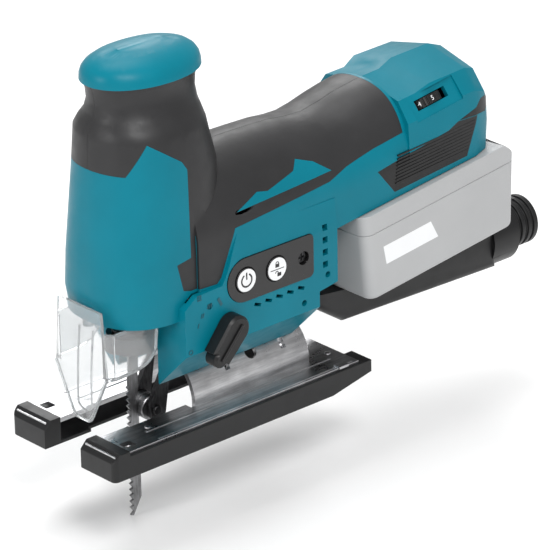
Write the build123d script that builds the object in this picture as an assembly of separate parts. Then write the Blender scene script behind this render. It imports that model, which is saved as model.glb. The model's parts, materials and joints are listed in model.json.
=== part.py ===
from build123d import *
from math import acos, cos, copysign, degrees, pi, radians, sin, sqrt, tan
import os

# Cordless barrel-grip jigsaw. Millimetres, +Z up, the sole lies on z = 0 under the blade's line.
# The tool cuts towards -X, so +X is its rear, and -Y is the side that carries the control panel.

# ---------------------------------------------------------------- driving dimensions
WALL = 2.6              # moulded housing wall
SKIN = 1.5              # soft grip layer on the wall
GAP = 0.3               # gap between pieces that move past each other
FIT = 0.05              # radial running clearance of a shaft in its bore

SHOE_FRONT, SHOE_REAR = -43.5, 121.6
SHOE_HALF = 38.5        # half width of the base with its plastic shoe
SHOE_WALL = 1.8
SHEET_TOP = 12.8        # upper face of the steel base
SHEET = 2.5
PLATE_REAR = 114.4
SLOT_HALF = 13.25       # half width of the mouth between the two front bumpers
BAY_HALF = 16.0         # half width of the wider opening round the blade
BAY_FRONT, BAY_REAR = -15.0, 20.0
BUMPER_REAR = -33.5

BEVEL_Z = 14.0          # height of the bevel axis
BEVEL_MAX = 45.0
ARCH_R = 21.0           # outer radius of the raised arch that the housing saddle sits on
ARCH_FRONT, ARCH_REAR = 22.0, 96.0
BOLT_X = 62.0
BOLT_R = 3.0

BODY_FRONT = 4.5        # front face of the lower body
BODY_REAR = 102.0
HEEL_X = 90.0           # the body steps forward here to clear the battery
BODY_HALF = 36.0
BODY_FLAT_TOP = 101.0   # height where the flat side turns into the barrel
CHIN_Z = 66.0           # underside of the column
CHAMBER_HALF = 15.0     # half width of the open blade chamber
CHAMBER_TOP = 62.0
CHAMBER_REAR = 30.0
SADDLE_R = ARCH_R + GAP

MOTOR_Z = 102.0
STATOR_R, STATOR_X0, STATOR_X1 = 25.5, 44.0, 84.0
ROTOR_R = 14.0
SHAFT_R = 2.5
BEARING_R, BEARING_WIDTH = 8.0, 6.0
MODULE = 0.8
PINION_TEETH, GEAR_TEETH = 14, 56
GEAR_X0, GEAR_X1 = 14.0, 22.0
STROKE = 23.0
ROD_R = 4.0
ROD_BOTTOM, ROD_TOP = 52.0, 168.0
GEAR_Z = MOTOR_Z + MODULE * (PINION_TEETH + GEAR_TEETH) / 2 + 0.1

BLADE_BACK = 3.5
BLADE_WIDTH = 6.4
BLADE_THICK = 1.4
BLADE_TIP_Z = -44.7
TOOTH_PITCH = 3.2
CLAMP_BOTTOM = 43.5

ROLLER_R = 6.4
ROLLER_X = BLADE_BACK + ROLLER_R - 1.1
ROLLER_Z = 11.0
ROLLER_PIN_R = 2.4
ARM_PIVOT = (22.0, 52.0)

PANEL_X0, PANEL_X1 = 31.0, 86.0
PANEL_Z, PANEL_R = 78.0, 11.2
BUTTON_R = 6.3
BUTTON_TRAVEL = 1.0
POWER_X, LOCK_X, PANEL_SCREW_X = 42.2, 61.7, 79.4

LEVER_X, LEVER_Z = 31.0, 57.5
LEVER_SHAFT_R = 4.0

PACK_TILT = 7.0         # the battery rails rise by this angle towards the rear
PACK_REF_X, PACK_REF_Z = 105.0, 85.5
PACK_HALF = 37.5
PACK_SPLIT = 11.0       # upper case depth below the rail plane
RAIL_HALF = 24.0
RAIL_HEIGHT = 7.5
LIP = 2.4

DIAL_R, DIAL_WIDTH = 10.0, 4.6
DIAL_POINT = (171.2, -30.1, 133.5)
DIAL_RISE = 8.0

DUCT_HALF = 15.0
NOZZLE_R = 13.0
NOZZLE_Z = 33.5
NOZZLE_END = 263.4
COLLAR_R = 17.0

GUARD_X = -30.5
GUARD_T = 1.6
GUARD_HALF = 19.5


# ---------------------------------------------------------------- small helpers
def block(x0, x1, y0, y1, z0, z1):
    """Box between two corners."""
    return Pos((x0 + x1) / 2, (y0 + y1) / 2, (z0 + z1) / 2) * Box(x1 - x0, y1 - y0, z1 - z0)


def disc_x(r, x0, x1, y, z):
    """Cylinder along X."""
    return Pos((x0 + x1) / 2, y, z) * Rot(0, 90, 0) * Cylinder(r, x1 - x0)


def disc_y(r, y0, y1, x, z):
    """Cylinder along Y."""
    return Pos(x, (y0 + y1) / 2, z) * Rot(90, 0, 0) * Cylinder(r, y1 - y0)


def disc_z(r, z0, z1, x, y):
    """Cylinder along Z."""
    return Pos(x, y, (z0 + z1) / 2) * Cylinder(r, z1 - z0)


def side_prism(points, y0, y1):
    """Outline given as (x, z) points, carried along Y."""
    face = make_face(Polyline(*[(x, y0, z) for x, z in points], close=True))
    return extrude(face, amount=y1 - y0, dir=(0, 1, 0))


def plan_prism(points, z0, z1):
    """Outline given as (x, y) points, carried along Z."""
    face = make_face(Polyline(*[(x, y, z0) for x, y in points], close=True))
    return extrude(face, amount=z1 - z0, dir=(0, 0, 1))


def end_prism(points, x0, x1):
    """Outline given as (y, z) points, carried along X."""
    face = make_face(Polyline(*[(x0, y, z) for y, z in points], close=True))
    return extrude(face, amount=x1 - x0, dir=(1, 0, 0))


def far(shape):
    """The same shape on the other side of the middle plane."""
    return mirror(shape, about=Plane.XZ)


def both(shape):
    """A shape and its mirror image, in one."""
    return shape + far(shape)


def rail_z(x):
    """Height of the battery rail plane at x."""
    return PACK_REF_Z + tan(radians(PACK_TILT)) * (x - PACK_REF_X)


def hexagon_z(across, z0, z1, x, y):
    """Hexagon head along Z."""
    face = Pos(x, y, z0) * RegularPolygon(across / 2, 6, major_radius=False)
    return extrude(face, amount=z1 - z0, dir=(0, 0, 1))


# ---------------------------------------------------------------- outer form, one half at a time
COLUMN = [
    # height, front, rear, half width, squareness
    (CHIN_Z, -24.6, 42.0, 31.0, 2.6),
    (78.0, -26.5, 44.0, 32.0, 2.6),
    (95.0, -26.0, 46.0, 32.0, 2.5),
    (137.5, -22.4, 46.5, 30.4, 2.3),
    (150.0, -21.8, 43.6, 29.6, 2.2),
    (158.5, -21.3, 41.7, 28.6, 2.2),
    (162.5, -19.8, 40.8, 26.4, 2.15),
    (167.0, -17.4, 39.9, 23.0, 2.1),
    (173.0, -16.4, 39.4, 20.6, 2.1),
    (179.0, -17.2, 40.2, 20.4, 2.1),
    (183.0, -18.9, 42.2, 21.6, 2.1),
]
KNOB_RIM_Z, KNOB_TOP_Z = 183.0, 196.4
KNOB_FRONT, KNOB_REAR, KNOB_HALF = -20.0, 43.4, 22.8
KNOB_STEPS = (0.0, 0.2, 0.4, 0.58, 0.74, 0.87, 0.96, 1.0)

BARREL = [
    # x, crest height, half width, squareness
    (16.0, 134.0, 33.5, 2.0),
    (40.0, 136.8, 34.4, 2.0),
    (60.0, 137.2, 34.5, 2.0),
    (76.0, 137.0, 34.4, 2.0),
    (90.0, 136.4, 34.2, 2.05),
    (101.0, 135.0, 34.0, 2.1),
    (112.0, 134.6, 33.9, 2.15),
    (122.0, 136.4, 33.9, 2.2),
    (132.0, 138.8, 34.0, 2.3),
    (142.0, 140.6, 34.1, 2.4),
    (152.0, 141.8, 34.2, 2.5),
]
TAIL = [
    # x, crest height, half width, share of the half width at the roof's edge
    (152.0, 141.8, 34.2, 0.76),
    (164.0, 142.6, 34.3, 0.74),
    (172.0, 146.2, 34.4, 0.78),
    (197.0, 147.2, 34.4, 0.76),
    (206.0, 143.8, 32.0, 0.72),
    (212.0, 138.0, 27.0, 0.70),
    (216.0, 130.0, 20.0, 0.70),
]


def half_plan(z, front, rear, half, power, inset):
    """Half superellipse in plan at height z, closed on the middle plane."""
    centre = (front + rear) / 2
    a = (rear - front) / 2 - inset
    b = half - inset
    points = []
    for k in range(13):
        turn = pi * k / 12
        across = sin(turn) if 0 < k < 12 else 0.0
        along = copysign(abs(cos(turn)) ** (2 / power), cos(turn)) if k != 6 else 0.0
        points.append((centre - a * along, -b * across ** (2 / power), z))
    return make_face([Spline(*points), Line(points[-1], points[0])])


def half_arch(x, crest, half, power, inset):
    """Half section of the barrel at x: a superellipse quarter over the flat side."""
    top = crest - inset
    side = half - inset
    points = []
    for k in range(8):
        turn = pi / 2 * k / 7
        up = cos(turn) if k < 7 else 0.0
        z = BODY_FLAT_TOP + (top - BODY_FLAT_TOP) * up ** (2 / power)
        points.append((x, -side * sin(turn) ** (2 / power), z))
    low = rail_z(x) + inset
    corner, heel = (x, -side, low), (x, 0.0, low)
    edges = [Spline(*points), Line(points[-1], corner), Line(corner, heel), Line(heel, points[0])]
    return make_face(edges)


def half_roof(x, crest, half, share, inset):
    """Half section of the tail at x: crest, roof facet, steep facet and flat side."""
    low = rail_z(x) + inset
    wide = half - inset
    top = crest - inset
    points = [(x, 0.0, top), (x, -share * wide, top - 6), (x, -0.975 * wide, top - 16)]
    points.append((x, -wide, max(top - 28, low + 1)))
    points += [(x, -wide, low), (x, 0.0, low)]
    return make_face(Polyline(*points, close=True))


def knob_half(inset):
    """Half of the mushroom knob: superellipses that close in towards the top."""
    centre = (KNOB_FRONT + KNOB_REAR) / 2
    long, wide = (KNOB_REAR - KNOB_FRONT) / 2 - inset, KNOB_HALF - inset
    plans = []
    for step in KNOB_STEPS:
        a = long * max((1 - step ** 3.2) ** (1 / 2.6), 0.42)
        b = wide * max((1 - step ** 2.2) ** (1 / 2.2), 0.20)
        z = KNOB_RIM_Z + (KNOB_TOP_Z - KNOB_RIM_Z - inset) * step
        plans.append(half_plan(z, centre - a, centre + a, b, 2.1, 0.0))
    return loft(plans, ruled=True)


def lower_half(inset):
    """Half of the lower body: flat side, 45 degree underside and the step in front of the battery."""
    side = BODY_HALF - inset
    top = BODY_FLAT_TOP + 1
    keel = 27.0 + 1.414 * inset
    profile = [(0.0, top), (1.6 - side, top), (-side, 88.0), (-side, 49.0 + 0.4 * inset), (-14.0, keel), (0.0, keel)]
    body = end_prism(profile, BODY_FRONT + inset, BODY_REAR - inset)
    step_x = HEEL_X - inset
    heel = side_prism([(step_x, 20), (step_x, 57.0 + inset), (110.0, 60.0 + inset), (110.0, 20)], -60, 1)
    nose = side_prism([(-1, 73.0), (4.5, 73.0), (12.0, 78.5), (28.0, 79.0), (31.0, 84.0), (40.0, 104.0), (-1, 104)], -60, 1)
    return body - heel - nose


def half_form(inset):
    """Outer form of the housing's near half, moved inwards by inset."""
    chin = COLUMN[0]
    rows = [(chin[0] + inset, *chin[1:])] + COLUMN[1:]
    column = loft([half_plan(*row, inset) for row in rows], ruled=True)
    barrel = loft([half_arch(*row, inset) for row in BARREL], ruled=True)
    tail_rows = TAIL[:-1] + [(TAIL[-1][0] - inset, *TAIL[-1][1:])]
    tail = loft([half_roof(*row, inset) for row in tail_rows], ruled=True)
    slant = [(219.0 - inset, 128.0), (204.0 - inset, 90.0), (240.0, 90.0), (240.0, 128.0)]
    tail -= side_prism(slant, -60, 1)
    form = column + knob_half(inset) + barrel + tail + lower_half(inset)
    return form - disc_x(SADDLE_R + inset, 0, 130, 0, BEVEL_Z)


# ---------------------------------------------------------------- housing halves and grips
GRIP_OUTLINE = [
    # soft grip seen from the side (x, z): column, band down to the panel, barrel up to the tail
    (-60.0, 142.4), (-21.9, 142.4), (-15.6, 142.0), (-12.4, 147.5), (-6.6, 157.1), (10.3, 145.5), (13.2, 141.0),
    (12.6, 97.0), (4.0, 95.5), (7.4, 81.5), (12.0, 80.2), (26.7, 79.8), (29.3, 82.5), (38.5, 105.0),
    (100.5, 110.5), (112.5, 114.5), (131.0, 118.6), (150.0, 121.6), (151.0, 160.0), (60.0, 160.0),
    (60.0, KNOB_RIM_Z), (-60.0, KNOB_RIM_Z),
]
ISLAND_OUTLINE = [(41.0, 112.0), (55.6, 117.6), (62.0, 116.4), (80.5, 120.6), (84.5, 124.8), (94.0, 121.5), (103.0, 115.2)]


def shells():
    """Near hard shell, near soft grip and the room inside."""
    outer, under, inner = half_form(0.0), half_form(SKIN), half_form(WALL + 0.6)
    zone = side_prism(GRIP_OUTLINE, -60, 0) - side_prism(ISLAND_OUTLINE, -60, 0)
    grip = (outer - under) & zone
    hard = outer - inner - grip
    return hard, grip, inner


def chamber():
    """Open space round the blade and the orbital arm, cut up into the lower body."""
    front = block(-40, CHAMBER_REAR, -CHAMBER_HALF, CHAMBER_HALF, 10, CHAMBER_TOP)
    mouth = disc_z(13.5, CHAMBER_TOP - 1, CHIN_Z + WALL + 2, 0, 0)
    return front + mouth


def vents():
    """Cooling openings: a column of squares behind the panel and slanted slots under it."""
    squares = [block(92.4, 95.6, -45, -20, z, z + 3.2) for z in (68.6, 75.0, 81.4, 87.8)]
    slots = [Pos(x, -30, 62.6) * Rot(0, 20, 0) * Box(4.4, 30, 1.7) for x in (50.0, 57.0, 64.0, 71.0, 78.0)]
    return Compound(children=squares + slots)


def panel_form(grow, y0, y1):
    """Control panel outline: round front end, square rear end, made larger by grow."""
    r = PANEL_R + grow
    mid = PANEL_X0 + PANEL_R
    body = block(mid, PANEL_X1 + grow, y0, y1, PANEL_Z - r, PANEL_Z + r)
    body = fillet(body.edges().filter_by(Axis.Y).group_by(Axis.X)[-1], 3.0)
    return body + disc_y(r, y0, y1, mid, PANEL_Z)


INSET_OUTLINE = [(131.0, 106.9), (142.0, 93.4), (191.0, 98.6), (198.6, 118.2), (184.8, 118.6), (178.6, 115.6)]
BAND_OUTLINE = [(185.4, 118.8), (198.6, 118.4), (230.0, 116.0), (230.0, 128.0), (202.0, 125.6), (198.0, 122.6)]


def side_plate(outline, depth):
    """Piece let into the tail's side: the outer form cut by an outline down to a depth."""
    zone = side_prism(outline, -60, 0)
    return (half_form(0.0) - half_form(depth)) & zone


def dial_plane():
    """Plane of the speed dial: its normal is the dial's axis and its origin the dial's centre."""
    along = Vector(cos(radians(DIAL_RISE)), 0, sin(radians(DIAL_RISE)))
    outward = Vector(0, -0.838, 0.545)
    axis = outward.cross(along).normalized()
    outward = along.cross(axis).normalized()
    centre = Vector(*DIAL_POINT) - outward * (DIAL_R - 0.4)
    return Plane(origin=centre, x_dir=along, z_dir=axis)


def speed_dial():
    """Ribbed thumb wheel."""
    plane = dial_plane()
    wheel = plane * Cylinder(DIAL_R, DIAL_WIDTH)
    grooves = [plane * Rot(0, 0, turn) * Pos(DIAL_R, 0, 0) * Cylinder(0.45, DIAL_WIDTH) for turn in range(0, 360, 12)]
    bore = plane * Cylinder(1.5 + FIT, DIAL_WIDTH)
    return wheel - grooves - bore


def dial_pin():
    """Axle of the speed dial with the two cheeks that hold it to the wall."""
    plane = dial_plane()
    reach = DIAL_WIDTH / 2 + GAP
    pin = plane * Cylinder(1.5, 2 * reach + 2)
    cheeks = [plane * Pos(-1.0, 0, side * (reach + 0.7)) * Box(10, 8, 1.4) for side in (-1, 1)]
    return pin + cheeks[0] + cheeks[1]


def housing():
    """Hard halves with every opening cut, and the soft grips."""
    hard, grip, inner = shells()
    duct_cut = block(80, 110, -DUCT_HALF - GAP, DUCT_HALF + GAP, 35, 45.5)
    x0, x1 = BODY_REAR - 1, 230.0
    top = RAIL_HEIGHT + 1
    bay_outline = [(x0, rail_z(x0) - 1), (x1, rail_z(x1) - 1), (x1, rail_z(x1) + top), (x0, rail_z(x0) + top)]
    bay = side_prism(bay_outline, -RAIL_HALF - GAP, RAIL_HALF + GAP)
    lug = disc_z(BOLT_R + FIT, 25, 60, BOLT_X, 0)
    common = hard - chamber() - bay - lug - duct_cut
    near = common - vents() - panel_form(GAP / 2, -40, -31.4)
    for x in (POWER_X, LOCK_X):
        near -= disc_y(BUTTON_R + GAP, -45, -20, x, PANEL_Z)
    near -= disc_y(LEVER_SHAFT_R + FIT, -45, -20, LEVER_X, LEVER_Z)
    near -= disc_y(1.6, -45, -20, PANEL_SCREW_X, PANEL_Z)
    window = dial_plane() * Box(20.4, 2 * DIAL_R + 8, DIAL_WIDTH + 0.8)
    keep = block(150, 200, -60, -24, 110, 150)
    near -= window & keep
    near -= dial_plane() * Pos(1.5, -14.4 - DIAL_R / 10, -1.0) * Box(31, 13.6, 13) & keep
    near -= side_plate(INSET_OUTLINE, 1.5)
    near -= side_plate(BAND_OUTLINE, 1.5)
    rear = far(common - vents() - side_plate(INSET_OUTLINE, 1.5) - side_plate(BAND_OUTLINE, 1.5))
    for x, z in SCREWS:
        near -= disc_y(1.6, -60, 0, x, z)
        rear -= disc_y(1.6, 0, 60, x, z) + disc_y(3.2, BODY_HALF - 3.2, 60, x, z)
    return near, rear, grip, far(grip)


SCREWS = [(20.0, 71.0), (95.5, 64.4), (80.0, 54.0)]


def housing_screws():
    """Screws that close the housing, heads on the far side."""
    group = []
    for x, z in SCREWS:
        head = disc_y(2.9, BODY_HALF - 3.2, BODY_HALF - 1.0, x, z)
        socket = Pos(x, BODY_HALF - 1.6, z) * Box(1.0, 1.4, 4.0)
        group.append(head + disc_y(1.5, -28, BODY_HALF - 3.0, x, z) - socket)
    return Compound(children=group)


# ---------------------------------------------------------------- controls
def control_panel():
    """Black control panel with two button holes and a screw recess."""
    panel = panel_form(0.0, -BODY_HALF - 0.5, -31.6)
    for x in (POWER_X, LOCK_X):
        panel -= disc_y(BUTTON_R + GAP, -45, -20, x, PANEL_Z)
    recess = disc_y(3.4, -45, -32.8, PANEL_SCREW_X, PANEL_Z) + disc_y(1.6, -45, -20, PANEL_SCREW_X, PANEL_Z)
    return panel - recess


def button(x):
    """Round push button with a collar behind the panel."""
    cap = disc_y(BUTTON_R, -BODY_HALF - 1.2, -28.6, x, PANEL_Z)
    collar = disc_y(BUTTON_R + 1.6, -29.6, -28.2, x, PANEL_Z)
    return cap + collar


def switch_dome(x):
    """Dome switch on the board, just behind the button."""
    return disc_y(3.6, -27.0, -25.4, x, PANEL_Z)


def panel_screw():
    """Recessed screw with a cross socket."""
    head = disc_y(3.1, -34.8, -32.8, PANEL_SCREW_X, PANEL_Z) + disc_y(1.5, -32.8, -26.2, PANEL_SCREW_X, PANEL_Z)
    cross = Pos(PANEL_SCREW_X, -34.6, PANEL_Z) * (Box(3.6, 1.6, 0.9) + Box(0.9, 1.6, 3.6))
    return head - cross


def control_board():
    """Switch board behind the panel and the lower drive board."""
    board = block(35.5, 84, -25.4, -23.8, 68, 88)
    chips = block(44, 52, -23.8, -22.2, 82, 87) + block(58, 70, -23.8, -22.4, 69, 75)
    return board + chips


def orbital_lever():
    """Teardrop lever on a shaft that ends in a cam for the orbital arm."""
    heading = radians(228)
    tip = (LEVER_X + 16.0 * cos(heading), LEVER_Z + 16.0 * sin(heading))
    y0, y1 = -BODY_HALF - 8.0, -BODY_HALF - 0.4
    hub = disc_y(7.2, y0, y1, LEVER_X, LEVER_Z)
    nose = disc_y(4.4, y0, y1, *tip)
    ux, uz = cos(heading), sin(heading)
    px, pz = -uz, ux
    outline = [
        (LEVER_X + 7.2 * px, LEVER_Z + 7.2 * pz), (tip[0] + 6.4 * px, tip[1] + 6.4 * pz),
        (tip[0] - 6.4 * px, tip[1] - 6.4 * pz), (LEVER_X - 7.2 * px, LEVER_Z - 7.2 * pz)]
    grip = hub + nose + side_prism(outline, y0, y1)
    grip = chamfer(grip.faces().sort_by(Axis.Y)[0].edges(), 1.2)
    shaft = disc_y(LEVER_SHAFT_R, -BODY_HALF - 0.4, -17.5, LEVER_X, LEVER_Z)
    cam = disc_y(2.0, -17.5, -14.0, LEVER_X - 1.6, LEVER_Z)
    return grip + shaft + cam


# ---------------------------------------------------------------- motor and gears
def gear_outline(teeth, shrink):
    """Involute tooth flanks on a 20 degree base circle, thinned by shrink for backlash."""
    pitch = MODULE * teeth / 2
    base = pitch * cos(radians(20))
    tip = pitch + 0.78 * MODULE
    root = pitch - 1.1 * MODULE
    half = pi / (2 * teeth) - shrink / (2 * pitch) + tan(radians(20)) - radians(20)
    start = max(base, root)
    flank = []
    for k in range(5):
        r = start + (tip - start) * k / 4
        roll = acos(min(1.0, base / r))
        flank.append((r, half - (tan(roll) - roll)))
    points = []
    for tooth in range(teeth):
        mid = 2 * pi * tooth / teeth
        sides = [(root, flank[0][1])] + flank if start > root + 0.01 else flank
        points += [(r, mid - a) for r, a in sides] + [(r, mid + a) for r, a in reversed(sides)]
    return [(r * cos(a), r * sin(a)) for r, a in points]


def gear_x(teeth, x0, x1, z, turn, shrink=0.12):
    """Spur gear along X, turned by an angle."""
    outline = gear_outline(teeth, shrink)
    spin = radians(turn)
    placed = [(p * cos(spin) - q * sin(spin), z + p * sin(spin) + q * cos(spin)) for p, q in outline]
    return end_prism(placed, x0, x1)


def drive_gear():
    """Large gear with the crank pin that drives the yoke, and its bored hub."""
    wheel = gear_x(GEAR_TEETH, GEAR_X0, GEAR_X1, GEAR_Z, -90.0)
    dish = disc_x(18.0, GEAR_X0, GEAR_X0 + 2, 0, GEAR_Z) - disc_x(8.0, GEAR_X0, GEAR_X0 + 2, 0, GEAR_Z)
    boss = disc_x(4.6, GEAR_X0 - 1.0, GEAR_X0 + 2.0, STROKE / 2, GEAR_Z)
    pin = disc_x(2.6, GEAR_X0 - 4.0, GEAR_X0 - 1.0, STROKE / 2, GEAR_Z)
    bore = disc_x(4.0 + FIT, 10, 30, 0, GEAR_Z)
    return wheel - dish + boss + pin - bore


def balance_plate():
    """Counterweight on the gear's rear face, opposite the crank pin."""
    plate = disc_x(20.0, GEAR_X1, GEAR_X1 + 2.0, 0, GEAR_Z) - disc_x(4.0 + FIT, 10, 30, 0, GEAR_Z)
    return plate - block(20, 30, 6, 30, GEAR_Z - 30, GEAR_Z + 30)


def gear_axle():
    """Fixed pin that the drive gear turns on."""
    return disc_x(4.0, GEAR_X0 - 1.4, 34.0, 0, GEAR_Z)


def rotor_shaft():
    """Motor shaft with its pinion."""
    half_turn = 180.0 / PINION_TEETH
    pinion = gear_x(PINION_TEETH, GEAR_X0 - 1, GEAR_X1 + 1, MOTOR_Z, 90.0 + half_turn)
    return pinion + disc_x(SHAFT_R, GEAR_X1 + 1, 98.0, 0, MOTOR_Z)


def rotor():
    """Permanent magnet rotor on the shaft."""
    return disc_x(ROTOR_R, 48, 80, 0, MOTOR_Z) - disc_x(SHAFT_R, 40, 90, 0, MOTOR_Z)


def stator():
    """Laminated ring with six teeth."""
    ring = disc_x(STATOR_R, STATOR_X0 + 4, STATOR_X1 - 4, 0, MOTOR_Z)
    ring -= disc_x(STATOR_R - 4.5, STATOR_X0, STATOR_X1, 0, MOTOR_Z)
    for k in range(6):
        tooth = Pos((STATOR_X0 + STATOR_X1) / 2, 0, MOTOR_Z) * Rot(60 * k, 0, 0)
        ring += tooth * Pos(0, 0, 18.4) * Box(STATOR_X1 - STATOR_X0 - 8, 4.6, 7.4)
        ring += tooth * Pos(0, 0, 15.6) * Box(STATOR_X1 - STATOR_X0 - 8, 11.0, 1.6)
    return ring - disc_x(ROTOR_R + 0.5, 30, 95, 0, MOTOR_Z)


def windings():
    """Six copper coils round the stator teeth."""
    coils = []
    for k in range(6):
        place = Pos((STATOR_X0 + STATOR_X1) / 2, 0, MOTOR_Z) * Rot(60 * k, 0, 0) * Pos(0, 0, 18.2)
        length = STATOR_X1 - STATOR_X0
        coils.append(place * (Box(length, 8.6, 3.4) - Box(length - 8, 4.6, 3.4)))
    return Compound(children=coils)


def fan():
    """Cooling fan behind the rotor."""
    hub = disc_x(6.0, 86, 92, 0, MOTOR_Z)
    disc = disc_x(21.0, 86, 87.2, 0, MOTOR_Z)
    wheel = hub + disc
    for k in range(11):
        wheel += Pos(89, 0, MOTOR_Z) * Rot(360 / 11 * k, 0, 0) * Pos(0, 0, 13.2) * Box(4.4, 1.2, 15.0)
    return wheel - disc_x(SHAFT_R, 80, 95, 0, MOTOR_Z)


def bearing(x0, z):
    """Ball bearing drawn as two rings and a closed cage."""
    ring = disc_x(BEARING_R, x0, x0 + BEARING_WIDTH, 0, z) - disc_x(SHAFT_R + FIT, x0 - 1, x0 + 10, 0, z)
    groove = disc_x(6.4, x0, x0 + 0.6, 0, z) - disc_x(4.4, x0, x0 + 0.6, 0, z)
    return ring - groove


def gear_case():
    """Aluminium frame: bearing plate, axle boss, two rod guides and the arms between them."""
    plate = block(28, 34, -25, 25, 86, 117) + block(28, 34, -17, 17, 117, 146) - disc_x(BEARING_R, 26, 40, 0, MOTOR_Z)
    plate -= disc_x(4.0, 26, 40, 0, GEAR_Z)
    upper = block(-9, 32, -11, 11, 154, 164)
    lower = block(-9, 12, -13, 13, 84, 94) + both(block(-6, 34, -23.6, -21, 86, 94) + block(-6, 0, -23.6, -12, 86, 94))
    back = both(block(28, 32, -11, -6, 140, 164))
    frame = plate + upper + lower + back
    frame -= disc_x(PINION_TIP + 1.2, 0, 13, 0, MOTOR_Z) + disc_z(ROD_R + 1.6, 60, 190, 0, 0)
    return frame


PINION_TIP = MODULE * (PINION_TEETH / 2 + 0.78)


def rod_bushes():
    """Two sintered sleeves that guide the rod."""
    sleeve = [disc_z(ROD_R + 1.6, z0, z0 + 10, 0, 0) - disc_z(ROD_R + FIT, z0, z0 + 10, 0, 0) for z0 in (84, 154)]
    return Compound(children=sleeve)


def slider_rod():
    """Rod with the slotted yoke that the crank pin would run in."""
    rod = disc_z(ROD_R, ROD_BOTTOM, ROD_TOP, 0, 0)
    yoke = block(2.0, GEAR_X0 - 4.0 - GAP, -17, 17, GEAR_Z - 6.4, GEAR_Z + 6.4)
    slot = block(4.6, 12, -14.6, 14.6, GEAR_Z - 2.9, GEAR_Z + 2.9)
    return rod + (yoke - slot)


def felt_seal():
    """Felt ring that keeps dust out of the gear case."""
    return disc_z(9.0, 76, 80, 0, 0) - disc_z(ROD_R + 0.2, 70, 90, 0, 0)


def seal_holder():
    """Plate across the column that carries the felt ring."""
    plate = block(-16, 26, -20, 20, 76, 80) - disc_z(9.0, 70, 90, 0, 0)
    return plate


# ---------------------------------------------------------------- blade, clamp, orbital parts
def blade_clamp():
    """Clamp head under the rod with the slot that holds the blade's shank."""
    head = disc_z(8.6, CLAMP_BOTTOM, 55.0, 0, 0) + disc_z(6.4, 55.0, 58.0, 0, 0)
    head -= disc_z(ROD_R, ROD_BOTTOM, 60, 0, 0)
    shank = block(-BLADE_WIDTH / 2, BLADE_WIDTH / 2, -BLADE_THICK / 2, BLADE_THICK / 2, 30, ROD_BOTTOM)
    return head - shank


def clamp_collar():
    """Sprung release ring with its finger lever."""
    ring = disc_z(11.4, 45.0, 53.0, 0, 0) - disc_z(8.6 + FIT, 40, 60, 0, 0)
    lever = block(9.6, 13.0, -2.4, 2.4, 44.5, 50.0) + disc_z(2.4, 42.0, 49.6, 12.8, 0)
    return ring + lever


def blade():
    """Saw blade: slanted tip, coarse teeth towards -X and a shank in the clamp."""
    front = BLADE_BACK - BLADE_WIDTH
    z = BLADE_TIP_Z
    points = [(BLADE_BACK, 50.0), (BLADE_BACK, z + 9.0), (BLADE_BACK - 5.2, z), (front - 0.4, z + 0.6)]
    z += 1.4
    while z + TOOTH_PITCH < 24.0:
        points += [(front + 1.5, z + 0.7), (front - 0.4, z + TOOTH_PITCH)]
        z += TOOTH_PITCH
    points += [(front + 0.6, z + 1.0), (front + 0.6, 50.0)]
    plate = side_prism(points, -BLADE_THICK / 2, BLADE_THICK / 2)
    core = block(-BLADE_WIDTH / 2, BLADE_WIDTH / 2, -1, 1, CLAMP_BOTTOM, ROD_BOTTOM - 0.2)
    shank = block(-BLADE_WIDTH / 2, BLADE_WIDTH / 2, -BLADE_THICK / 2, BLADE_THICK / 2, CLAMP_BOTTOM - 1, 51.6)
    low = block(-20, 20, -5, 5, -60, CLAMP_BOTTOM - 0.5)
    return (plate & low) + (shank & (core + block(-20, 20, -5, 5, 40, CLAMP_BOTTOM + 0.1)))


def orbital_arm():
    """Fork that carries the guide roller, hung on a pivot pin in the lower body."""
    px, pz = ARM_PIVOT
    outline = [(px - 4, pz + 2), (px + 4, pz + 2), (px + 2, pz - 8), (px - 2.6, pz - 16), (ROLLER_X + 6, ROLLER_Z - 3.5),
               (ROLLER_X - 2.5, ROLLER_Z - 4.2), (ROLLER_X - 3.4, ROLLER_Z + 3.2), (px - 4, pz - 14)]
    cheek = side_prism(outline, -7.4, -4.6) + disc_y(4.4, -7.4, -4.6, px, pz)
    bridge = block(px - 1.5, px + 2.0, -7.4, 7.4, pz - 8, pz + 2)
    arm = both(cheek) + bridge
    arm -= disc_y(2.5 + FIT, -20, 20, px, pz) + disc_y(ROLLER_PIN_R, -20, 20, ROLLER_X, ROLLER_Z)
    return arm


def arm_pin():
    """Pivot pin of the orbital arm, held in the housing's two legs."""
    return disc_y(2.5, -22, 22, *ARM_PIVOT)


def guide_roller():
    """Grooved roller that backs the blade."""
    roller = disc_y(ROLLER_R, -4.3, 4.3, ROLLER_X, ROLLER_Z)
    groove = disc_y(ROLLER_R + 1, -1.0, 1.0, ROLLER_X, ROLLER_Z) - disc_y(ROLLER_R - 1.2, -1.0, 1.0, ROLLER_X, ROLLER_Z)
    roller -= groove + disc_y(ROLLER_PIN_R + FIT, -5, 5, ROLLER_X, ROLLER_Z)
    return chamfer(roller.edges().filter_by(GeomType.CIRCLE).group_by(Axis.Y)[0], 0.5)


def roller_pin():
    """Pin of the guide roller with its near head."""
    return disc_y(ROLLER_PIN_R, -9.0, 7.8, ROLLER_X, ROLLER_Z)


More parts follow.
